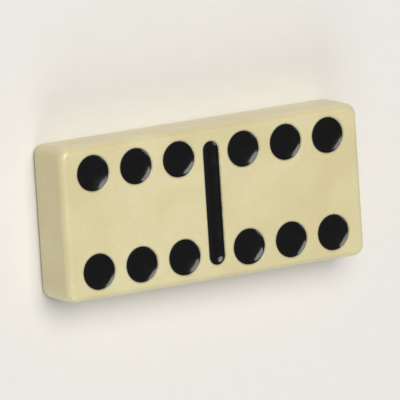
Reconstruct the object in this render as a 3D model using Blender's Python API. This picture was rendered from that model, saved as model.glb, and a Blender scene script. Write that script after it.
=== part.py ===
"""Double-six domino tile: a moulded ivory-coloured resin body with dished recesses in its face,
and the black enamel that fills them as separate solids, one for each pip and one for the centre bar.

Units are metres and +Z is up. The tile lies face up with its length along X, and the origin is at the
middle of its back, where it rests. Run it with: blender --background --python part.py
"""

from math import cos, pi, sin, sqrt

import bmesh
import bpy
from mathutils import Matrix, Vector

# --- Driving dimensions of the body ------------------------------------------------------------
TILE_LENGTH = 0.0380
TILE_WIDTH = 0.0170
TILE_THICKNESS = 0.0060
CORNER_RADIUS = 0.0012  # of the four upright corners
EDGE_RADIUS = 0.0007  # of the edges round the face and the back

# --- Pips: three columns along each half, two rows across it -------------------------------------
PIP_DIAMETER = 0.0039  # of a recess's upright wall
PIP_WALL_DEPTH = 0.0008  # from the face down to where the wall meets the dished floor
PIP_FLOOR_SAG = 0.0003  # how much deeper the floor is at its middle
PIP_SIDE_LAND = 0.00115  # plain face between a row of pips and the tile's long side
# The length of a half that its pips leave free is shared out in these parts.
LAND_AT_BAR = 8
LAND_BETWEEN_PIPS = 10
LAND_AT_END = 14

# --- Centre bar: a round-ended slot across the tile ------------------------------------------------
BAR_WIDTH = 0.0019
BAR_DEPTH = 0.0009
BAR_END_LAND = 0.0017  # plain face between the bar's end and the tile's long side

# --- Enamel -------------------------------------------------------------------------------------------
ENAMEL_CLEARANCE = 0.0003  # between the enamel and the recess's wall and floor
ENAMEL_SINK = 0.00015  # how far the enamel's rim lies below the face
ENAMEL_HOLLOW = 0.0002  # how much lower the enamel's top is in its middle
MOUTH_CHAMFER = 0.00012  # broken edge round every recess's mouth

# --- Fineness ---------------------------------------------------------------------------------------
ROUND_SEGMENTS = 24  # round a pip
CORNER_SEGMENTS = 5  # round an upright corner
EDGE_SEGMENTS = 3  # over a rounded edge
DISH_RINGS = 3  # from a dish's middle to its rim
OVERCUT = 0.0004  # how far a cutter stands above the face
MERGE_DISTANCE = 0.000001
SMOOTH_ANGLE = 0.6  # radians; a steeper fold between two faces stays a crisp edge

# --- Finishes: linear colours, and roughness ---------------------------------------------------------
IVORY_COLOUR = (0.716, 0.638, 0.376, 1.0)
IVORY_ROUGHNESS = 0.3
ENAMEL_COLOUR = (0.008, 0.008, 0.008, 1.0)
ENAMEL_ROUGHNESS = 0.15

HALVES = {"left": -1, "right": 1}
ROWS = {"front": -1, "back": 1}
COLUMNS = ("inner", "middle", "outer")


def clear_scene():
    """Removes every object, so that a second run starts from nothing."""
    for obj in list(bpy.data.objects):
        bpy.data.objects.remove(obj, do_unlink=True)


def finish(name, colour, roughness):
    """Returns a plain plastic-like material."""
    material = bpy.data.materials.new(name)
    material.use_nodes = True
    shader = material.node_tree.nodes["Principled BSDF"]
    shader.inputs["Base Color"].default_value = colour
    shader.inputs["Roughness"].default_value = roughness
    shader.inputs["Metallic"].default_value = 0.0
    material.diffuse_color = colour
    return material


def to_mesh(name, bm, material):
    """Turns a bmesh into a mesh with outward faces, smooth where it is round."""
    bmesh.ops.remove_doubles(bm, verts=bm.verts, dist=MERGE_DISTANCE)
    bmesh.ops.recalc_face_normals(bm, faces=bm.faces)
    mesh = bpy.data.meshes.new(name)
    bm.to_mesh(mesh)
    bm.free()
    mesh.shade_smooth()
    mesh.set_sharp_from_angle(angle=SMOOTH_ANGLE)
    mesh.materials.append(material)
    return mesh


def place(name, mesh, parent, location=(0.0, 0.0, 0.0)):
    """Puts one object that uses the mesh under its parent."""
    obj = bpy.data.objects.new(name, mesh)
    obj.location = location
    obj.parent = parent
    bpy.context.scene.collection.objects.link(obj)
    return obj


def dish_arc(radius, sag, rim_height):
    """Points (r, z) of a spherical dish, from its middle out to its rim."""
    sphere = (radius**2 + sag**2) / (2 * sag)
    centre_height = rim_height - sag + sphere
    steps = [radius * i / DISH_RINGS for i in range(DISH_RINGS + 1)]
    return [(r, centre_height - sqrt(sphere**2 - r**2)) for r in steps]


def spun(profile):
    """Turns a profile of (r, z) points once round the Z axis into a closed bmesh."""
    bm = bmesh.new()
    verts = [bm.verts.new((r, 0.0, z)) for r, z in profile]
    edges = [bm.edges.new(pair) for pair in zip(verts, verts[1:])]
    bmesh.ops.spin(
        bm,
        geom=verts + edges,
        cent=(0.0, 0.0, 0.0),
        axis=(0.0, 0.0, 1.0),
        angle=2 * pi,
        steps=ROUND_SEGMENTS,
        use_merge=True,
    )
    return bm


def slot_outline(width, length):
    """Points of a slot's outline along Y, whose two ends are half circles."""
    radius = width / 2
    straight = length / 2 - radius
    half_turn = ROUND_SEGMENTS // 2
    points = []
    for end in (1, -1):
        for i in range(half_turn + 1):
            turn = pi * i / half_turn
            points.append((end * radius * cos(turn), end * (straight + radius * sin(turn))))
    return points


def slot_stack(sections):
    """Stacks slot outlines of (width, length, height) from the bottom up and closes both ends."""
    bm = bmesh.new()
    loops = []
    for width, length, height in sections:
        verts = [bm.verts.new((x, y, height)) for x, y in slot_outline(width, length)]
        loops.append([bm.edges.new(pair) for pair in zip(verts, verts[1:] + verts[:1])])
        if len(loops) > 1:
            bmesh.ops.bridge_loops(bm, edges=loops[-2] + loops[-1])
    bmesh.ops.edgeloop_fill(bm, edges=loops[0])
    bmesh.ops.edgeloop_fill(bm, edges=loops[-1])
    return bm


def pip_cutter_profile():
    """The recess of one pip with the face at height 0, from its middle out and up past the mouth."""
    radius = PIP_DIAMETER / 2
    flare = MOUTH_CHAMFER + OVERCUT
    return dish_arc(radius, PIP_FLOOR_SAG, -PIP_WALL_DEPTH) + [
        (radius, -MOUTH_CHAMFER),
        (radius + flare, OVERCUT),
        (0.0, OVERCUT),
    ]


def pip_enamel_profile():
    """One pip's enamel with the face at height 0: parallel to its recess below and hollow on top."""
    radius = PIP_DIAMETER / 2 - ENAMEL_CLEARANCE
    under = dish_arc(radius, PIP_FLOOR_SAG, ENAMEL_CLEARANCE - PIP_WALL_DEPTH)
    top = dish_arc(radius, ENAMEL_HOLLOW, -ENAMEL_SINK)
    return under + top[::-1]


def bar_cutter_sections():
    """The centre bar's slot with the face at height 0, from its floor up past the mouth."""
    length = TILE_WIDTH - 2 * BAR_END_LAND
    flare = 2 * (MOUTH_CHAMFER + OVERCUT)
    return [
        (BAR_WIDTH, length, -BAR_DEPTH),
        (BAR_WIDTH, length, -MOUTH_CHAMFER),
        (BAR_WIDTH + flare, length + flare, OVERCUT),
    ]


def bar_enamel_sections():
    """The bar's enamel with the face at height 0: a thin strip whose top is hollow along its middle."""
    width = BAR_WIDTH - 2 * ENAMEL_CLEARANCE
    length = TILE_WIDTH - 2 * BAR_END_LAND - 2 * ENAMEL_CLEARANCE
    inner = width / 2
    return [
        (width, length, ENAMEL_CLEARANCE - BAR_DEPTH),
        (width, length, -ENAMEL_SINK),
        (inner, length - inner, -ENAMEL_SINK - ENAMEL_HOLLOW),
    ]


def column_places():
    """Distances of the inner, middle and outer pips from the tile's middle, along its length."""
    free = TILE_LENGTH / 2 - BAR_WIDTH / 2 - len(COLUMNS) * PIP_DIAMETER
    shares = LAND_AT_BAR + (len(COLUMNS) - 1) * LAND_BETWEEN_PIPS + LAND_AT_END
    first = BAR_WIDTH / 2 + free * LAND_AT_BAR / shares + PIP_DIAMETER / 2
    pitch = PIP_DIAMETER + free * LAND_BETWEEN_PIPS / shares
    return [first + pitch * i for i in range(len(COLUMNS))]


def pip_places():
    """Each pip's name and the middle of its mouth on the face."""
    row = TILE_WIDTH / 2 - PIP_SIDE_LAND - PIP_DIAMETER / 2
    places = {}
    for half, towards_end in HALVES.items():
        for side, across in ROWS.items():
            for column, distance in zip(COLUMNS, column_places()):
                point = Vector((towards_end * distance, across * row, TILE_THICKNESS))
                places[f"{half}_{side}_{column}"] = point
    return places


def body_block():
    """The plain block: a box with round upright corners, then round edges along both faces."""
    bm = bmesh.new()
    middle = Matrix.Translation((0.0, 0.0, TILE_THICKNESS / 2))
    size = Matrix.Diagonal((TILE_LENGTH, TILE_WIDTH, TILE_THICKNESS, 1.0))
    bmesh.ops.create_cube(bm, size=1.0, matrix=middle @ size)
    upright = [e for e in bm.edges if abs(e.verts[0].co.z - e.verts[1].co.z) > TILE_THICKNESS / 2]
    bmesh.ops.bevel(
        bm,
        geom=upright,
        offset=CORNER_RADIUS,
        segments=CORNER_SEGMENTS,
        profile=0.5,
        affect="EDGES",
        material=-1,
    )
    level = [e for e in bm.edges if abs(e.verts[0].co.z - e.verts[1].co.z) < MERGE_DISTANCE]
    bmesh.ops.bevel(
        bm,
        geom=level,
        offset=EDGE_RADIUS,
        segments=EDGE_SEGMENTS,
        profile=0.5,
        affect="EDGES",
        material=-1,
    )
    return bm


def add_cutter(name, mesh, parent, location, cutters):
    """Adds a recess's cutter, drawn as wires and left out of renders."""
    cutter = place(name, mesh, parent, location)
    cutter.hide_render = True
    cutter.display_type = "WIRE"
    cutters.objects.link(cutter)


def build():
    """Builds the tile's body, cuts its recesses and lays the enamel in them."""
    clear_scene()
    ivory = finish("ivory_resin", IVORY_COLOUR, IVORY_ROUGHNESS)
    black = finish("black_enamel", ENAMEL_COLOUR, ENAMEL_ROUGHNESS)
    tile = place("domino_tile", None, None)
    body = place("tile_body", to_mesh("tile_body", body_block(), ivory), tile)
    cutters = bpy.data.collections.new("recess_cutters")

    pip_cutter = to_mesh("pip_cutter", spun(pip_cutter_profile()), ivory)
    pip_enamel = to_mesh("pip_enamel", spun(pip_enamel_profile()), black)
    for name, point in pip_places().items():
        add_cutter(f"cutter_{name}", pip_cutter, tile, point, cutters)
        place(f"pip_{name}", pip_enamel, tile, point)

    on_face = (0.0, 0.0, TILE_THICKNESS)
    bar_cutter = to_mesh("bar_cutter", slot_stack(bar_cutter_sections()), ivory)
    bar_enamel = to_mesh("bar_enamel", slot_stack(bar_enamel_sections()), black)
    add_cutter("cutter_centre_bar", bar_cutter, tile, on_face, cutters)
    place("centre_bar", bar_enamel, tile, on_face)

    recesses = body.modifiers.new("recesses", "BOOLEAN")
    recesses.operation = "DIFFERENCE"
    recesses.operand_type = "COLLECTION"
    recesses.collection = cutters
    recesses.solver = "EXACT"


build()
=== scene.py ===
"""Double-six domino tile: an ivory-coloured moulded resin body and the black enamel in its recesses.

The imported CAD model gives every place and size. This script replaces its plain solids with fine meshes:
the body with polished rounded edges, a mould's draft and parting line and a soft lip round each recess,
and one enamel fill for each pip and for the centre bar, each with the hollow top that drying leaves.
"""

import logging  # noqa: E402
from dataclasses import dataclass, field  # noqa: E402
from enum import Enum  # noqa: E402
from math import cos, pi, radians, sin, sqrt, tan  # noqa: E402
from typing import Any  # noqa: E402

import bmesh  # noqa: E402
import bpy  # noqa: E402
from bmesh.types import BMEdge, BMesh, BMFace, BMVert  # noqa: E402
from mathutils import Matrix, Vector, noise  # noqa: E402


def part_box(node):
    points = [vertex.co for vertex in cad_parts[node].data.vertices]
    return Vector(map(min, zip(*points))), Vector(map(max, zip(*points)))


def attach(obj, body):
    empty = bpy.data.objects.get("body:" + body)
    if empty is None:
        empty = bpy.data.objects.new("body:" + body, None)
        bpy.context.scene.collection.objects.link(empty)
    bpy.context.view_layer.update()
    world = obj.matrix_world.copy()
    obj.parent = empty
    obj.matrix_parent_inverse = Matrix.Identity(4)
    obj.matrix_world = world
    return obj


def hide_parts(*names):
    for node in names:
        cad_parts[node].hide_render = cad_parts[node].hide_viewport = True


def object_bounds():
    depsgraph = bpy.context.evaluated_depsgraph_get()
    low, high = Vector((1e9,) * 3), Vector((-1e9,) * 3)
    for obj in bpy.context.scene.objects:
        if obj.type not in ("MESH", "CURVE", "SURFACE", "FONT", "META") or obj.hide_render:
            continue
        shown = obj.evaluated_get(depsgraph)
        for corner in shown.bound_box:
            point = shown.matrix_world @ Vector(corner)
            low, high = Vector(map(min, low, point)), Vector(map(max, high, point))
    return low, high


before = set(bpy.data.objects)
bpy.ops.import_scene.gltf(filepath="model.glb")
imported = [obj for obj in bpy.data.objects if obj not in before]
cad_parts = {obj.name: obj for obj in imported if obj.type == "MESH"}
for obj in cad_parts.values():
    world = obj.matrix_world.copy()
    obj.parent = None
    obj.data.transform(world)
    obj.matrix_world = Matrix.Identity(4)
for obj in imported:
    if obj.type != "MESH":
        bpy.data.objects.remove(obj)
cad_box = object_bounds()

log = logging.getLogger("domino")

MM = 0.001
BODY = "root"

# Points closer than this are one point.
WELD = 0.0005 * MM

# A face counts as flat while its normal's largest share is more than this.
FLAT = cos(radians(2.0))

# Nearly all of a noise texture's values lie between these.
NOISE_LOW, NOISE_HIGH = 0.3, 0.7


class Slot(str, Enum):
    """The record's material slots."""

    RESIN = "ivory_resin"
    ENAMEL = "black_enamel"


class Attribute(str, Enum):
    """Values stored on the body's points for its material to read."""

    WIPE = "enamel_wipe"
    POLISH = "edge_polish"


# --- Nodes and colours ---------------------------------------------------------------------------


def linear(hex_colour: str) -> tuple[float, float, float, float]:
    """Turns an sRGB hex colour into linear RGBA.

    Args:
        hex_colour: six hex digits with a leading hash.

    Returns:
        The linear colour with an alpha of 1.
    """
    parts = [int(hex_colour[i : i + 2], 16) / 255 for i in (1, 3, 5)]
    red, green, blue = (
        p / 12.92 if p <= 0.04045 else ((p + 0.055) / 1.055) ** 2.4 for p in parts
    )
    return (red, green, blue, 1.0)


def per_metre(size_mm: float) -> float:
    """Returns the texture scale that gives features of about this size, in millimetres."""
    return 1.0 / (size_mm * MM)


def add_node(
    tree: bpy.types.NodeTree,
    kind: str,
    inputs: dict[int | str, Any] | None = None,
    **settings: Any,
) -> bpy.types.Node:
    """Adds a node with its settings, values and links.

    Args:
        tree: the material's node tree.
        kind: the node's type.
        inputs: a value, or the socket that feeds it, for each input's name or number.
        settings: the node's own properties.

    Returns:
        The new node.
    """
    node = tree.nodes.new(kind)
    for name, value in settings.items():
        setattr(node, name, value)
    for key, value in (inputs or {}).items():
        if isinstance(value, bpy.types.NodeSocket):
            tree.links.new(value, node.inputs[key])
        else:
            node.inputs[key].default_value = value
    return node


# A Mix node of colours has its two colours on these inputs, and its result on this output.
MIX_A, MIX_B, MIX_RESULT = 6, 7, 2


def new_material(name: str) -> tuple[bpy.types.Material, bpy.types.NodeTree, bpy.types.Node]:
    """Makes a material whose nodes are only a Principled shader and its output.

    Args:
        name: the material's name.

    Returns:
        The material, its tree and its shader.
    """
    material = bpy.data.materials.new(name)
    material.use_nodes = True
    tree = material.node_tree
    tree.nodes.clear()
    shader = add_node(tree, "ShaderNodeBsdfPrincipled")
    add_node(tree, "ShaderNodeOutputMaterial", {"Surface": shader.outputs["BSDF"]})
    return material, tree, shader


# --- Finishes ------------------------------------------------------------------------------------

# Red light travels furthest in ivory resin and blue light least, as shares of the resin's own depth.
WARM_SPREAD = (1.0, 0.75, 0.42)


@dataclass(frozen=True)
class MouldedResin:
    """Urea resin, compression-moulded, tumbled and buffed: a warm ivory with soft depth to it.

    The eye sees a faint cloudiness in the colour, tiny tan flecks of filler, a satin-gloss surface
    that is brighter where tumbling has polished the edges, and hairline tumbling marks. Real flecks
    and hairlines are a few hundredths of a millimetre across. They are drawn several times coarser
    here, because they would not show otherwise.

    Attributes:
        ivory: colour of the resin.
        cloud: colour of its deeper patches.
        fleck: colour of the filler's flecks.
        enamel_haze: colour of the enamel that wiping leaves in the pores beside a recess.
        cloud_mm: size of the patches.
        cloud_range: the noise's values over which ivory turns to cloud.
        fleck_mm: distance between the flecks.
        fleck_radii: a fleck's outer and inner radius, as shares of that distance.
        fleck_strength: how much of the fleck's colour shows.
        haze_mm: size of the spots in the enamel's haze.
        smear_mm: size of the unevenness that buffing leaves.
        roughness: of the buffed surface, in the middle of its range.
        duller: how much rougher its dullest patches are.
        brighter: how much smoother its brightest patches are.
        polished: roughness of the round edges.
        ior: of urea resin.
        skin: share of the surface that buffing has closed to a thin bright skin.
        skin_roughness: of that skin.
        depth: share of the light that goes in and comes out beside where it went in.
        depth_mm: how far that light travels.
        sink_mm: length of the slow waves that shrinking in the mould leaves.
        sink_height: of those waves.
        peel_mm: size of the orange peel's cells.
        peel_height: of those cells.
        hairline_mm: width of a hairline.
        hairline_depth: of a hairline.
        hairline_range: the noise's values over which a hairline goes from its edge to its bottom.
        hairline_runs: each run's turn about Z, and how many times longer than wide its hairlines are.
    """

    ivory: str = "#E3D9AE"
    cloud: str = "#DACE9F"
    fleck: str = "#BFAE7C"
    enamel_haze: str = "#5B5443"
    cloud_mm: float = 9.0
    cloud_range: tuple[float, float] = (0.35, 0.68)
    fleck_mm: float = 0.55
    fleck_radii: tuple[float, float] = (0.2, 0.08)
    fleck_strength: float = 0.4
    haze_mm: float = 0.6
    smear_mm: float = 3.5
    roughness: float = 0.33
    duller: float = 0.05
    brighter: float = 0.04
    polished: float = 0.285
    ior: float = 1.56
    skin: float = 0.3
    skin_roughness: float = 0.14
    depth: float = 0.22
    depth_mm: float = 0.9
    sink_mm: float = 6.0
    sink_height: float = 0.02 * MM
    peel_mm: float = 0.7
    peel_height: float = 0.004 * MM
    hairline_mm: float = 0.16
    hairline_depth: float = 0.0012 * MM
    hairline_range: tuple[float, float] = (0.66, 0.74)
    hairline_runs: tuple[tuple[float, float], ...] = ((radians(24.0), 30.0), (radians(-51.0), 22.0))

    def material(self) -> bpy.types.Material:
        """Builds the resin's material.

        Returns:
            The material.
        """
        material, tree, shader = new_material("moulded_urea_resin")
        place = add_node(tree, "ShaderNodeTexCoord").outputs["Object"]
        colour = self.colour(tree, place)
        tree.links.new(colour, shader.inputs["Base Color"])
        tree.links.new(self.gloss(tree, place), shader.inputs["Roughness"])
        tree.links.new(self.relief(tree, place), shader.inputs["Normal"])
        shader.inputs["IOR"].default_value = self.ior
        shader.inputs["Coat Weight"].default_value = self.skin
        shader.inputs["Coat Roughness"].default_value = self.skin_roughness
        shader.inputs["Subsurface Weight"].default_value = self.depth
        shader.inputs["Subsurface Radius"].default_value = WARM_SPREAD
        shader.inputs["Subsurface Scale"].default_value = self.depth_mm * MM
        return material

    def colour(self, tree: bpy.types.NodeTree, place: bpy.types.NodeSocket) -> bpy.types.NodeSocket:
        """Mixes the ivory's clouds, its flecks and the grey haze of wiped enamel.

        Args:
            tree: the material's tree.
            place: object coordinates.

        Returns:
            The colour's socket.
        """
        clouds = add_node(
            tree,
            "ShaderNodeTexNoise",
            {"Vector": place, "Scale": per_metre(self.cloud_mm), "Detail": 4.0, "Distortion": 0.8},
        )
        start, end = self.cloud_range
        spread = add_node(
            tree,
            "ShaderNodeMapRange",
            {"Value": clouds.outputs["Fac"], "From Min": start, "From Max": end},
            clamp=True,
        )
        base = add_node(
            tree,
            "ShaderNodeMix",
            {0: spread.outputs["Result"], MIX_A: linear(self.ivory), MIX_B: linear(self.cloud)},
            data_type="RGBA",
        )
        cells = add_node(
            tree,
            "ShaderNodeTexVoronoi",
            {"Vector": place, "Scale": per_metre(self.fleck_mm), "Randomness": 1.0},
        )
        outer, inner = self.fleck_radii
        small = add_node(
            tree,
            "ShaderNodeMapRange",
            {
                "Value": cells.outputs["Distance"],
                "From Min": outer,
                "From Max": inner,
                "To Max": self.fleck_strength,
            },
            clamp=True,
        )
        flecks = add_node(
            tree,
            "ShaderNodeMix",
            {0: small.outputs["Result"], MIX_A: base.outputs[MIX_RESULT], MIX_B: linear(self.fleck)},
            data_type="RGBA",
        )
        wipe = add_node(tree, "ShaderNodeAttribute", attribute_name=Attribute.WIPE.value)
        patchy = add_node(
            tree,
            "ShaderNodeTexNoise",
            {"Vector": place, "Scale": per_metre(self.haze_mm), "Detail": 2.0},
        )
        haze = add_node(
            tree,
            "ShaderNodeMath",
            {0: wipe.outputs["Fac"], 1: patchy.outputs["Fac"]},
            operation="MULTIPLY",
        )
        stained = add_node(
            tree,
            "ShaderNodeMix",
            {0: haze.outputs[0], MIX_A: flecks.outputs[MIX_RESULT], MIX_B: linear(self.enamel_haze)},
            data_type="RGBA",
        )
        return stained.outputs[MIX_RESULT]

    def gloss(self, tree: bpy.types.NodeTree, place: bpy.types.NodeSocket) -> bpy.types.NodeSocket:
        """Varies the roughness: buffed unevenly, and smoother where the edges were polished.

        Args:
            tree: the material's tree.
            place: object coordinates.

        Returns:
            The roughness's socket.
        """
        smears = add_node(
            tree,
            "ShaderNodeTexNoise",
            {"Vector": place, "Scale": per_metre(self.smear_mm), "Detail": 5.0, "Roughness": 0.6},
        )
        uneven = add_node(
            tree,
            "ShaderNodeMapRange",
            {
                "Value": smears.outputs["Fac"],
                "From Min": NOISE_LOW,
                "From Max": NOISE_HIGH,
                "To Min": self.roughness - self.brighter,
                "To Max": self.roughness + self.duller,
            },
            clamp=True,
        )
        polish = add_node(tree, "ShaderNodeAttribute", attribute_name=Attribute.POLISH.value)
        mixed = add_node(
            tree,
            "ShaderNodeMix",
            {0: polish.outputs["Fac"], 2: uneven.outputs["Result"], 3: self.polished},
            data_type="FLOAT",
        )
        return mixed.outputs[0]

    def relief(self, tree: bpy.types.NodeTree, place: bpy.types.NodeSocket) -> bpy.types.NodeSocket:
        """Stacks the surface's relief: slow sink, a fine orange peel and hairlines from tumbling.

        Args:
            tree: the material's tree.
            place: object coordinates.

        Returns:
            The normal's socket.
        """
        sink = add_node(
            tree,
            "ShaderNodeTexNoise",
            {"Vector": place, "Scale": per_metre(self.sink_mm), "Detail": 1.0},
        )
        normal = add_node(
            tree,
            "ShaderNodeBump",
            {"Height": sink.outputs["Fac"], "Distance": self.sink_height, "Strength": 1.0},
        ).outputs["Normal"]
        peel = add_node(
            tree,
            "ShaderNodeTexNoise",
            {"Vector": place, "Scale": per_metre(self.peel_mm), "Detail": 2.0},
        )
        normal = add_node(
            tree,
            "ShaderNodeBump",
            {
                "Height": peel.outputs["Fac"],
                "Distance": self.peel_height,
                "Strength": 1.0,
                "Normal": normal,
            },
        ).outputs["Normal"]
        edge, bottom = self.hairline_range
        for turn, stretch in self.hairline_runs:
            lines = add_node(
                tree,
                "ShaderNodeMapping",
                {
                    "Vector": place,
                    "Rotation": (0.0, 0.0, turn),
                    "Scale": (1.0 / stretch, 1.0, 1.0),
                },
            )
            hairs = add_node(
                tree,
                "ShaderNodeTexNoise",
                {"Vector": lines.outputs[0], "Scale": per_metre(self.hairline_mm), "Detail": 1.0},
            )
            sharp = add_node(
                tree,
                "ShaderNodeMapRange",
                {"Value": hairs.outputs["Fac"], "From Min": edge, "From Max": bottom},
                clamp=True,
            )
            normal = add_node(
                tree,
                "ShaderNodeBump",
                {
                    "Height": sharp.outputs["Result"],
                    "Distance": self.hairline_depth,
                    "Strength": 1.0,
                    "Normal": normal,
                },
                invert=True,
            ).outputs["Normal"]
        return normal


@dataclass(frozen=True)
class GlossEnamel:
    """Black enamel, flooded into a recess and air-dried: near black with a wet-looking gloss.

    The eye sees a deep black with a sharp highlight that wanders a little where the film dried unevenly.

    Attributes:
        black: colour of the enamel.
        thin: colour where the film is thin.
        film_mm: size of the thick and thin patches.
        roughness: of the film, in the middle of its range.
        duller: how much rougher its dullest patches are.
        brighter: how much smoother its brightest patches are.
        ior: of an alkyd enamel.
        ripple_mm: length of the fine waves in its surface.
        ripple_height: of those waves.
    """

    black: str = "#080707"
    thin: str = "#100D0B"
    film_mm: float = 1.4
    roughness: float = 0.13
    duller: float = 0.07
    brighter: float = 0.03
    ior: float = 1.5
    ripple_mm: float = 0.9
    ripple_height: float = 0.012 * MM

    def material(self) -> bpy.types.Material:
        """Builds the enamel's material.

        Returns:
            The material.
        """
        material, tree, shader = new_material("air_dried_black_enamel")
        place = add_node(tree, "ShaderNodeTexCoord").outputs["Object"]
        film = add_node(
            tree,
            "ShaderNodeTexNoise",
            {"Vector": place, "Scale": per_metre(self.film_mm), "Detail": 3.0},
        )
        colour = add_node(
            tree,
            "ShaderNodeMix",
            {0: film.outputs["Fac"], MIX_A: linear(self.black), MIX_B: linear(self.thin)},
            data_type="RGBA",
        )
        uneven = add_node(
            tree,
            "ShaderNodeMapRange",
            {
                "Value": film.outputs["Fac"],
                "From Min": NOISE_LOW,
                "From Max": NOISE_HIGH,
                "To Min": self.roughness - self.brighter,
                "To Max": self.roughness + self.duller,
            },
            clamp=True,
        )
        ripple = add_node(
            tree,
            "ShaderNodeTexNoise",
            {"Vector": place, "Scale": per_metre(self.ripple_mm), "Detail": 1.5},
        )
        relief = add_node(
            tree,
            "ShaderNodeBump",
            {"Height": ripple.outputs["Fac"], "Distance": self.ripple_height, "Strength": 1.0},
        )
        tree.links.new(colour.outputs[MIX_RESULT], shader.inputs["Base Color"])
        tree.links.new(uneven.outputs["Result"], shader.inputs["Roughness"])
        tree.links.new(relief.outputs["Normal"], shader.inputs["Normal"])
        shader.inputs["IOR"].default_value = self.ior
        return material


@dataclass(frozen=True)
class MattBoard:
    """Matt painted board for the floor: the eye sees a pale warm white with a roller's faint tooth.

    Attributes:
        white: colour of the paint.
        shade: colour of the painted shade in the hollows of the tooth.
        tooth_mm: size of the tooth.
        tooth_height: of the tooth.
        roughness: of the paint.
    """

    white: str = "#ECE9E4"
    shade: str = "#E8E5DF"
    tooth_mm: float = 2.0
    tooth_height: float = 0.01 * MM
    roughness: float = 0.85

    def material(self) -> bpy.types.Material:
        """Builds the floor's material.

        Returns:
            The material.
        """
        material, tree, shader = new_material("matt_painted_board")
        place = add_node(tree, "ShaderNodeTexCoord").outputs["Object"]
        tooth = add_node(
            tree,
            "ShaderNodeTexNoise",
            {"Vector": place, "Scale": per_metre(self.tooth_mm), "Detail": 4.0},
        )
        # Painted shade: the tooth's noise mixes a slightly darker white into the paint.
        colour = add_node(
            tree,
            "ShaderNodeMix",
            {0: tooth.outputs["Fac"], MIX_A: linear(self.white), MIX_B: linear(self.shade)},
            data_type="RGBA",
        )
        relief = add_node(
            tree,
            "ShaderNodeBump",
            {"Height": tooth.outputs["Fac"], "Distance": self.tooth_height, "Strength": 0.5},
        )
        tree.links.new(colour.outputs[MIX_RESULT], shader.inputs["Base Color"])
        tree.links.new(relief.outputs["Normal"], shader.inputs["Normal"])
        shader.inputs["Roughness"].default_value = self.roughness
        return material


# --- Recess outlines -----------------------------------------------------------------------------


@dataclass(frozen=True)
class Outline:
    """A recess seen from above: a circle, or a circle pulled apart along Y into a round-ended slot.

    Attributes:
        centre: the middle of the recess's mouth, on the tile's face.
        radius: of the recess's upright wall, or half of a slot's width.
        pull: how far each half of the circle is moved from the middle.
        segments: round the circle.
        straights: pieces that each straight side is cut into.
    """

    centre: Vector
    radius: float
    pull: float = 0.0
    segments: int = 72
    straights: int = 1

    def ring(self, bm: BMesh, radius: float, height: float) -> list[BMEdge]:
        """Adds the outline at a distance from its spine.

        Args:
            bm: the mesh to add to.
            radius: distance from the spine.
            height: above or below the tile's face.

        Returns:
            The ring's edges.
        """
        half_step = Matrix.Rotation(pi / self.segments, 4, "Z")
        verts = bmesh.ops.create_circle(
            bm,
            cap_ends=False,
            segments=self.segments,
            radius=radius,
            matrix=Matrix.Translation(self.centre) @ half_step,
        )["verts"]
        edges = list(dict.fromkeys(e for v in verts for e in v.link_edges))
        if self.pull:
            for v in verts:
                v.co.y += self.pull if v.co.y > self.centre.y else -self.pull
            long_sides = [e for e in edges if e.calc_length() > self.pull]
            made = bmesh.ops.bisect_edges(bm, edges=long_sides, cuts=self.straights - 1)
            fresh = [g for g in made["geom_split"] if isinstance(g, BMEdge)]
            edges = list(dict.fromkeys(edges + fresh))
            verts = list(dict.fromkeys(v for e in edges for v in e.verts))
        for v in verts:
            self.settle(v, radius, height)
        return edges

    def settle(self, vert: BMVert, radius: float, height: float) -> None:
        """Moves a point straight out from the spine to a distance and a height.

        Args:
            vert: the point.
            radius: its new distance from the spine.
            height: its new height above or below the tile's face.
        """
        spine = self.spine(vert.co)
        away = Vector((vert.co.x - spine.x, vert.co.y - spine.y, 0.0))
        vert.co = spine + away.normalized() * radius + Vector((0.0, 0.0, height))

    def spine(self, point: Vector) -> Vector:
        """Returns the point of the spine that is nearest to a point."""
        along = max(-self.pull, min(self.pull, point.y - self.centre.y))
        return self.centre + Vector((0.0, along, 0.0))

    def sweep(
        self, bm: BMesh, ring: list[BMEdge], profile: list[tuple[float, float]]
    ) -> tuple[list[BMEdge], list[list[BMVert]]]:
        """Extrudes a ring step by step along a profile.

        Args:
            bm: the mesh.
            ring: the edges to start from.
            profile: each step's distance from the spine and height.

        Returns:
            The last ring's edges, and the points of each step.
        """
        steps = []
        for radius, height in profile:
            grown = bmesh.ops.extrude_edge_only(bm, edges=ring)["geom"]
            verts = [g for g in grown if isinstance(g, BMVert)]
            ring = [g for g in grown if isinstance(g, BMEdge)]
            for v in verts:
                self.settle(v, radius, height)
            steps.append(verts)
        return ring, steps


def finish_mesh(name: str, bm: BMesh, material: bpy.types.Material) -> bpy.types.Object:
    """Turns a bmesh into a smooth-shaded object at the origin.

    Args:
        name: the object's name.
        bm: the finished shape, which is freed.
        material: the finish.

    Returns:
        The new object.
    """
    bmesh.ops.remove_doubles(bm, verts=bm.verts, dist=WELD)
    bmesh.ops.recalc_face_normals(bm, faces=bm.faces)
    mesh = bpy.data.meshes.new(name)
    bm.to_mesh(mesh)
    bm.free()
    mesh.shade_smooth()
    mesh.materials.append(material)
    piece = bpy.data.objects.new(name, mesh)
    bpy.context.scene.collection.objects.link(piece)
    return piece


def report(piece: bpy.types.Object) -> None:
    """Logs a finished piece's name, faces and size."""
    size = " x ".join(f"{side / MM:.2f}" for side in piece.dimensions)
    log.info("%s: %d faces, %s mm", piece.name, len(piece.data.polygons), size)


# --- The body ------------------------------------------------------------------------------------


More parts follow.
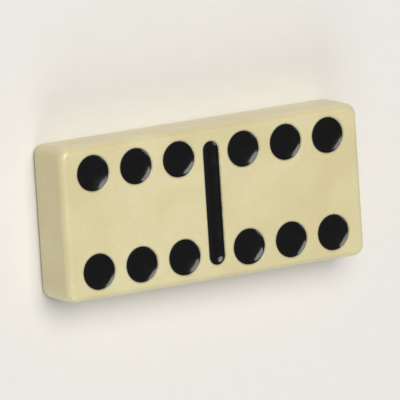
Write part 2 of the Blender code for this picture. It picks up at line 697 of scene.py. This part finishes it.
@dataclass
class TileBody:
    """The moulded block with its recesses.

    Attributes:
        low: lowest corner of the body's box.
        high: highest corner of the body's box.
        outlines: every recess in its face.
        lip: radius of the worn edge round a recess's mouth.
        corner_radius: of the four upright corners.
        edge_radius: of the edges round the face and the back.
        wall_depth: of a recess's upright wall.
        floor_sag: how much deeper the floor is at its middle.
        draft: slope of the sides, which lets the block leave its mould.
        ridge: height of the parting line that tumbling leaves.
        ridge_reach: half the parting line's width.
        border: width of the strip that keeps a flat face's shading flat.
        step: length of the pieces that the round edges are cut into.
        worn: how far tumbling has worn the round edges, at most.
        wear_lengths_mm: of the slow and the quick change in that wear along the edges.
        wear_shares: of the wear that is the same everywhere, changes slowly and changes quickly.
        dish_rings: where the dished floor's rings lie, as shares of the recess's radius.
        corner_segments: round an upright corner.
        edge_segments: across a round edge.
        lip_segments: over a recess's lip.
        name: of the piece.
    """

    low: Vector
    high: Vector
    outlines: list[Outline]
    lip: float
    corner_radius: float = 1.2 * MM
    edge_radius: float = 0.7 * MM
    wall_depth: float = 0.8 * MM
    floor_sag: float = 0.3 * MM
    draft: float = radians(0.7)
    ridge: float = 0.03 * MM
    ridge_reach: float = 0.08 * MM
    border: float = 0.06 * MM
    step: float = 0.5 * MM
    worn: float = 0.05 * MM
    wear_lengths_mm: tuple[float, float] = (5.0, 1.4)
    wear_shares: tuple[float, float, float] = (0.5, 0.35, 0.15)
    dish_rings: tuple[float, ...] = (1.0, 0.7, 0.35)
    corner_segments: int = 10
    edge_segments: int = 8
    lip_segments: int = 6
    name: str = "resin_body"

    def build(self, finish: MouldedResin) -> bpy.types.Object:
        """Builds the body and gives it its finish.

        Args:
            finish: the resin.

        Returns:
            The body's object.
        """
        bm = self.block()
        self.cut_into_steps(bm)
        self.part_sides(bm)
        self.border_flats(bm)
        self.tumble(bm)
        self.sink_recesses(bm)
        self.leave_haze(bm)
        return finish_mesh(self.name, bm, finish.material())

    def block(self) -> BMesh:
        """Makes the plain block with round corners and edges.

        Returns:
            The block.
        """
        bm = bmesh.new()
        for attribute in Attribute:
            bm.verts.layers.float.new(attribute.value)
        middle = Matrix.Translation((self.low + self.high) / 2)
        size = Matrix.Diagonal((*(self.high - self.low), 1.0))
        bmesh.ops.create_cube(bm, size=1.0, matrix=middle @ size)
        self.round_over(bm, self.edges_along(bm, upright=True), self.corner_radius, self.corner_segments)
        self.round_over(bm, self.edges_along(bm, upright=False), self.edge_radius, self.edge_segments)
        return bm

    @staticmethod
    def edges_along(bm: BMesh, upright: bool) -> list[BMEdge]:
        """Returns the edges that stand upright, or those that lie level."""
        rises = {e: abs(e.verts[0].co.z - e.verts[1].co.z) for e in bm.edges}
        return [e for e, rise in rises.items() if (rise > WELD) == upright]

    @staticmethod
    def round_over(bm: BMesh, edges: list[BMEdge], radius: float, segments: int) -> None:
        """Rounds edges to a radius.

        Args:
            bm: the block.
            edges: what to round.
            radius: of the round.
            segments: across the round.
        """
        bmesh.ops.bevel(
            bm,
            geom=edges,
            offset=radius,
            segments=segments,
            profile=0.5,
            affect="EDGES",
            material=-1,
        )

    @staticmethod
    def slice_at(bm: BMesh, axis: int, place: float) -> None:
        """Cuts every face that crosses a level plane or an upright one.

        Args:
            bm: the block.
            axis: 0, 1 or 2, for the axis that the plane is square to.
            place: where along that axis.
        """
        across = Vector([float(i == axis) for i in range(3)])
        geometry = [*bm.verts, *bm.edges, *bm.faces]
        bmesh.ops.bisect_plane(bm, geom=geometry, dist=WELD, plane_co=across * place, plane_no=across)

    def cut_into_steps(self, bm: BMesh) -> None:
        """Cuts the straight runs between the corners into short pieces that wear can shape.

        Args:
            bm: the block.
        """
        rounds = (self.corner_radius, self.corner_radius, self.edge_radius)
        for axis, corner in enumerate(rounds):
            start = self.low[axis] + corner + self.step
            run = self.high[axis] - corner - self.step - start
            cuts = round(run / self.step)
            if axis == 2:
                # An odd number of pieces leaves the middle free for the parting line.
                cuts -= cuts % 2 - 1
            for i in range(cuts + 1):
                self.slice_at(bm, axis, start + run * i / cuts)

    def part_sides(self, bm: BMesh) -> None:
        """Gives the sides their draft and the low ridge of the parting line, halfway up.

        Args:
            bm: the block.
        """
        middle = (self.low + self.high) / 2
        half = (self.high - self.low) / 2
        for offset in (-self.ridge_reach, 0.0, self.ridge_reach):
            self.slice_at(bm, 2, middle.z + offset)
        for v in bm.verts:
            rise = abs(v.co.z - middle.z)
            if rise > WELD:
                inward = self.ridge + tan(self.draft) * rise
                v.co.x *= 1 - inward / half.x
                v.co.y *= 1 - inward / half.y

    @staticmethod
    def flats(bm: BMesh) -> list[BMFace]:
        """Returns the faces that lie flat along the face, the back, the sides and the ends."""
        bm.normal_update()
        return [f for f in bm.faces if max(abs(n) for n in f.normal) > FLAT]

    def border_flats(self, bm: BMesh) -> None:
        """Gives each flat face a narrow border, so that its shading stays flat up to the round edge.

        Args:
            bm: the block.
        """
        bmesh.ops.inset_region(
            bm,
            faces=self.flats(bm),
            thickness=self.border,
            use_boundary=True,
            use_even_offset=True,
        )

    def tumble(self, bm: BMesh) -> None:
        """Wears the round edges unevenly, most at the corners, and marks them as polished.

        A point's lean says how far its normal has turned from square to a flat face: 0 while it has
        barely turned, 1 halfway round an edge, and more at the tile's corners. The parting line's crest
        wears down most where it runs round a corner.

        Args:
            bm: the block.
        """
        bm.normal_update()
        polish = bm.verts.layers.float[Attribute.POLISH.value]
        half_way = (self.low.z + self.high.z) / 2
        slow_mm, quick_mm = self.wear_lengths_mm
        steady, slow_share, quick_share = self.wear_shares
        elsewhere = Vector((3.0, 1.0, 7.0))
        halfway_round, barely_turned = sqrt(0.5), cos(radians(6.0))
        for v in bm.verts:
            lean = (barely_turned - max(abs(n) for n in v.normal)) / (barely_turned - halfway_round)
            if lean > 0.0:
                v[polish] = min(lean, 1.0)
                slow = noise.noise(v.co * per_metre(slow_mm))
                quick = noise.noise(v.co * per_metre(quick_mm) + elsewhere)
                wear = self.worn * (steady + slow_share * slow + quick_share * quick)
                if abs(v.co.z - half_way) < WELD:
                    wear += self.ridge
                v.co -= v.normal * lean * wear

    def mouth_profile(self, outline: Outline) -> list[tuple[float, float]]:
        """Returns a recess's profile from the flat face over its lip and down to its floor.

        Args:
            outline: the recess.

        Returns:
            Distances from the spine and heights.
        """
        radius, lip = outline.radius, self.lip
        turns = [pi / 2 * i / self.lip_segments for i in range(self.lip_segments + 1)]
        over = [(radius + lip * (1 - sin(t)), lip * (cos(t) - 1)) for t in turns]
        dish = [(radius * s, -self.wall_depth - self.floor_sag * (1 - s * s)) for s in self.dish_rings]
        return over + dish

    def sink_recesses(self, bm: BMesh) -> None:
        """Opens the face, lays a ring round each recess, fills the face between and sinks them.

        Args:
            bm: the block.
        """
        lid = [f for f in self.flats(bm) if f.normal.z > 0.5 and not self.on_border(f)]
        bmesh.ops.delete(bm, geom=lid, context="FACES")
        rim = [e for e in bm.edges if e.is_boundary]
        rings = [o.ring(bm, o.radius + self.lip + self.border, 0.0) for o in self.outlines]
        mouths = [e for ring in rings for e in ring]
        bmesh.ops.triangle_fill(bm, use_beauty=True, edges=rim + mouths)
        for outline, ring in zip(self.outlines, rings):
            last, _ = outline.sweep(bm, ring, self.mouth_profile(outline))
            bmesh.ops.edgeloop_fill(bm, edges=last)

    @staticmethod
    def on_border(face: BMFace) -> bool:
        """Tells whether a flat face touches a round edge."""
        return any(f.normal.z < FLAT for e in face.edges for f in e.link_faces)

    def leave_haze(self, bm: BMesh) -> None:
        """Marks the thin haze of enamel that wiping leaves on the lips.

        Args:
            bm: the block with its recesses.
        """
        wipe = bm.verts.layers.float[Attribute.WIPE.value]
        for v in bm.verts:
            if self.high.z - v.co.z < self.lip:
                away = min((v.co - o.spine(v.co)).xy.length - o.radius for o in self.outlines)
                v[wipe] = max(0.0, 1.0 - max(away, 0.0) / (self.lip + self.border))


# --- Enamel --------------------------------------------------------------------------------------


@dataclass
class EnamelFill:
    """Enamel in one recess: it has dried hollow, and has climbed the wall to part of the lip.

    Attributes:
        name: of the piece.
        outline: the recess that it fills.
        seed: makes each fill's level, edge and surface its own.
        lip: radius of the recess's lip.
        sink: depth of its level below the face.
        hollow: how much lower its middle is than its level.
        climb: how far up the lip its edge reaches, from 0 to 1.
        climb_limits: the least and the most that it reaches anywhere.
        climb_spread: how much that changes along the edge, up or down.
        climb_wave_mm: length of that change along the edge.
        ripple: height of the waves in its surface.
        ripple_mm: length of those waves.
        tilt: how far one side may dry higher than the other.
        sink_own: how much its level may differ from another fill's.
        hollow_own: how much its hollow may differ from another fill's.
        climb_own: how much its climb may differ from another fill's.
        edge_curl: how closely the surface's rise to its edge keeps to the edge.
        edge_hold: how closely the edge keeps the waves and the tilt away from itself.
        clearance: keeps it off the recess's wall.
        underside: depth of its bottom.
        rings: steps across its top.
        ring_crowding: how much closer the rings lie near the edge; at 1 they are evenly spaced.
        lip_steps: rings down the lip, as shares of the climb.
    """

    name: str
    outline: Outline
    seed: int
    lip: float
    sink: float = 0.17 * MM
    hollow: float = 0.22 * MM
    climb: float = 0.28
    climb_limits: tuple[float, float] = (0.05, 0.5)
    climb_spread: float = 0.22
    climb_wave_mm: float = 1.1
    ripple: float = 0.012 * MM
    ripple_mm: float = 1.5
    tilt: float = 0.03 * MM
    sink_own: float = 0.02 * MM
    hollow_own: float = 0.06 * MM
    climb_own: float = 0.08
    edge_curl: int = 10
    edge_hold: int = 6
    clearance: float = 0.003 * MM
    underside: float = 0.75 * MM
    rings: int = 18
    ring_crowding: float = 1.6
    lip_steps: tuple[float, ...] = (0.67, 0.33, 0.0)

    def build(self, finish: bpy.types.Material) -> bpy.types.Object:
        """Builds the fill.

        Args:
            finish: the enamel.

        Returns:
            The fill's object.
        """
        bm = bmesh.new()
        radius = self.outline.radius
        shares = [1 - (i / self.rings) ** self.ring_crowding for i in range(1, self.rings)]
        rim = self.outline.ring(bm, radius, 0.0)
        rim_verts = list(dict.fromkeys(v for e in rim for v in e.verts))
        wall, lip_rings = self.outline.sweep(bm, rim, [(radius, -self.lip)] * len(self.lip_steps))
        under, _ = self.outline.sweep(bm, wall, [(radius - self.clearance, -self.underside)])
        bmesh.ops.edgeloop_fill(bm, edges=under)
        middle, top_rings = self.outline.sweep(bm, rim, [(radius * s, 0.0) for s in shares])
        bmesh.ops.edgeloop_fill(bm, edges=middle)
        for share, verts in zip((1.0, *self.lip_steps), (rim_verts, *lip_rings)):
            for v in verts:
                self.outline.settle(v, *self.on_lip(self.climb_at(v) * share))
        for share, verts in zip(shares, top_rings):
            for v in verts:
                self.let_dry(v, share)
        return finish_mesh(self.name, bm, finish)

    def own(self, number: int) -> float:
        """Returns one of this fill's own numbers, between about -1 and 1, read far apart in a noise."""
        return noise.noise(Vector((self.seed * 2.37, number * 5.11, 0.5))) * 1.6

    def wave(self, place: Vector, length_mm: float, apart: float) -> float:
        """Returns this fill's own wave at a place, between about -1 and 1, with waves of a length."""
        return noise.noise(place * per_metre(length_mm) + Vector((0.0, 0.0, self.seed * apart)))

    def climb_at(self, vert: BMVert) -> float:
        """Returns how far up the lip the edge reaches beside a point.

        Args:
            vert: any point of the fill.

        Returns:
            From 0, where the lip meets the wall, to 1, where it meets the face.
        """
        spine = self.outline.spine(vert.co)
        away = Vector((vert.co.x - spine.x, vert.co.y - spine.y, 0.0)).normalized()
        at_wall = spine + away * self.outline.radius
        along = self.climb_spread * self.wave(at_wall, self.climb_wave_mm, 3.0)
        least, most = self.climb_limits
        return max(least, min(most, self.climb + self.climb_own * self.own(1) + along))

    def on_lip(self, climb: float) -> tuple[float, float]:
        """Returns the distance from the spine and the height of a point just off the lip.

        Args:
            climb: how far up the lip, from 0 to 1.

        Returns:
            The distance and the height.
        """
        turn = pi / 2 * (1 - climb)
        reach = self.lip + self.clearance
        return (self.outline.radius + self.lip - reach * sin(turn), reach * cos(turn) - self.lip)

    def let_dry(self, vert: BMVert, share: float) -> None:
        """Puts a point of the top where the drying enamel leaves it.

        Args:
            vert: the point.
            share: its distance from the spine, as a share of the edge's.
        """
        edge_radius, edge_height = self.on_lip(self.climb_at(vert))
        sink = self.sink + self.sink_own * self.own(2)
        hollow = self.hollow + self.hollow_own * self.own(3)
        bowl = -sink - hollow * (1 - share**2)
        meniscus = (edge_height + sink) * share**self.edge_curl
        offset = vert.co - self.outline.centre
        lean = (offset.x * self.own(4) + offset.y * self.own(5)) / self.outline.radius
        loose = 1 - share**self.edge_hold
        height = bowl + meniscus + loose * self.ripple * self.wave(vert.co, self.ripple_mm, 2.0)
        if not self.outline.pull:
            height += loose * self.tilt * lean
        self.outline.settle(vert, edge_radius * share, height)


# --- Studio --------------------------------------------------------------------------------------


@dataclass(frozen=True)
class Softbox:
    """A round soft light that faces the tile.

    Attributes:
        name: the light's name.
        direction: from the tile to the light.
        away: distance.
        across: its diameter.
        share: how bright it makes a level white surface beside the tile.
        colour: of the light.
    """

    name: str
    direction: tuple[float, float, float]
    away: float
    across: float
    share: float
    colour: str

    def shine(self, target: Vector) -> None:
        """Adds the light.

        Args:
            target: the point that it faces.
        """
        towards = Vector(self.direction).normalized()
        light = bpy.data.lights.new(self.name, "AREA")
        light.shape = "DISK"
        light.size = self.across
        light.energy = self.share * (pi * self.away) ** 2 / towards.z
        light.color = linear(self.colour)[:3]
        box = bpy.data.objects.new(self.name, light)
        box.location = target + towards * self.away
        box.rotation_euler = towards.to_track_quat("Z", "Y").to_euler()
        bpy.context.scene.collection.objects.link(box)


@dataclass
class Studio:
    """A pale floor, soft lights and a camera with a long lens.

    Attributes:
        target: the point that the camera and the lights look at.
        key: the large light overhead, which gives the gloss its highlights.
        fill: the weak light in front, which opens the shadows.
        sky: colour of the light from all round; a mid grey keeps the enamel dark.
        towards_camera: direction from the tile to the camera.
        length_rises: how steeply the tile's length rises to the right in the view.
        distance: from the tile to the camera.
        frame_width: width of the view at the tile.
        floor_size: side of the square floor.
    """

    target: Vector
    key: Softbox = Softbox("key", (-0.12, 0.4, 1.0), away=1.8, across=1.45, share=0.83, colour="#FFFDF8")
    fill: Softbox = Softbox("fill", (-0.25, -1.0, 0.65), away=2.0, across=1.35, share=0.17, colour="#F6F9FF")
    sky: str = "#707276"
    towards_camera: Vector = field(default_factory=lambda: Vector((-0.505, 0.168, 0.846)))
    length_rises: float = radians(9.4)
    distance: float = 1.096
    frame_width: float = 0.0435
    floor_size: float = 5.0

    def build(self) -> None:
        """Sets up the floor, the world, the lights and the camera."""
        self.floor()
        self.world()
        self.key.shine(self.target)
        self.fill.shine(self.target)
        self.camera()

    def floor(self) -> None:
        """Adds the floor."""
        bm = bmesh.new()
        bmesh.ops.create_grid(bm, x_segments=1, y_segments=1, size=self.floor_size / 2)
        floor = finish_mesh("floor", bm, MattBoard().material())

    def world(self) -> None:
        """Lights everything evenly from all round."""
        world = bpy.data.worlds.new("studio")
        world.use_nodes = True
        background = world.node_tree.nodes["Background"]
        background.inputs["Color"].default_value = linear(self.sky)
        background.inputs["Strength"].default_value = 1.0
        bpy.context.scene.world = world

    def camera(self) -> None:
        """Adds the camera, rolled so that the tile's length rises to the right in the view."""
        back = self.towards_camera.normalized()
        length = Vector((1.0, 0.0, 0.0))
        flat = (length - back * length.dot(back)).normalized()
        right = Matrix.Rotation(-self.length_rises, 3, back) @ flat
        up = back.cross(right)
        turn = Matrix((right, up, back)).transposed()
        data = bpy.data.cameras.new("camera")
        data.lens = data.sensor_width * self.distance / self.frame_width
        data.clip_start = self.distance / 10
        data.clip_end = self.floor_size * 2
        camera = bpy.data.objects.new("camera", data)
        place = Matrix.Translation(self.target + back * self.distance)
        camera.matrix_world = place @ turn.to_4x4()
        bpy.context.scene.collection.objects.link(camera)
        bpy.context.scene.camera = camera


# --- Putting it together -------------------------------------------------------------------------


@dataclass
class Domino:
    """The whole tile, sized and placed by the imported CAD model.

    Attributes:
        clearance: between the CAD model's enamel and its recesses.
        lip: radius of the worn edge round each recess's mouth.
        outlines: each recess, by its enamel's node.
    """

    clearance: float = 0.3 * MM
    lip: float = 0.18 * MM
    outlines: dict[str, Outline] = field(default_factory=dict)

    def read_frame(self) -> None:
        """Reads every recess's place and size from its enamel's box."""
        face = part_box("tile_body")[1].z
        for node in sorted(set(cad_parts) - {"tile_body"}):
            low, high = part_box(node)
            radius = (high.x - low.x) / 2 + self.clearance
            pull = (high.y - low.y) / 2 + self.clearance - radius
            middle = Vector(((low.x + high.x) / 2, (low.y + high.y) / 2, face))
            if pull > radius:
                self.outlines[node] = Outline(middle, radius, pull, straights=48)
            else:
                self.outlines[node] = Outline(middle, radius)

    def build(self) -> None:
        """Builds the body and every fill, and hands them to the frame."""
        self.read_frame()
        low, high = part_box("tile_body")
        body = TileBody(low, high, list(self.outlines.values()), self.lip).build(MouldedResin())
        self.hand_over(body, "tile_body", Slot.RESIN)
        black = GlossEnamel().material()
        for seed, (node, outline) in enumerate(self.outlines.items(), start=1):
            fill = EnamelFill(f"enamel_{node}", outline, seed, self.lip).build(black)
            self.hand_over(fill, node, Slot.ENAMEL)

    @staticmethod
    def hand_over(piece: bpy.types.Object, node: str, slot: Slot) -> None:
        """Makes a piece stand for its CAD node.

        Args:
            piece: the finished object.
            node: the CAD node that it replaces.
            slot: the record's material slot; not used.
        """
        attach(piece, BODY)
        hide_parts(node)
        report(piece)


def main() -> None:
    """Builds the tile and the studio, in order."""
    logging.basicConfig(level=logging.INFO, format="%(name)s: %(message)s")
    Domino().build()
    low, high = cad_box
    Studio(target=(low + high) / 2).build()
    bpy.context.scene.view_settings.view_transform = "Standard"


if __name__ == "__main__":
    main()
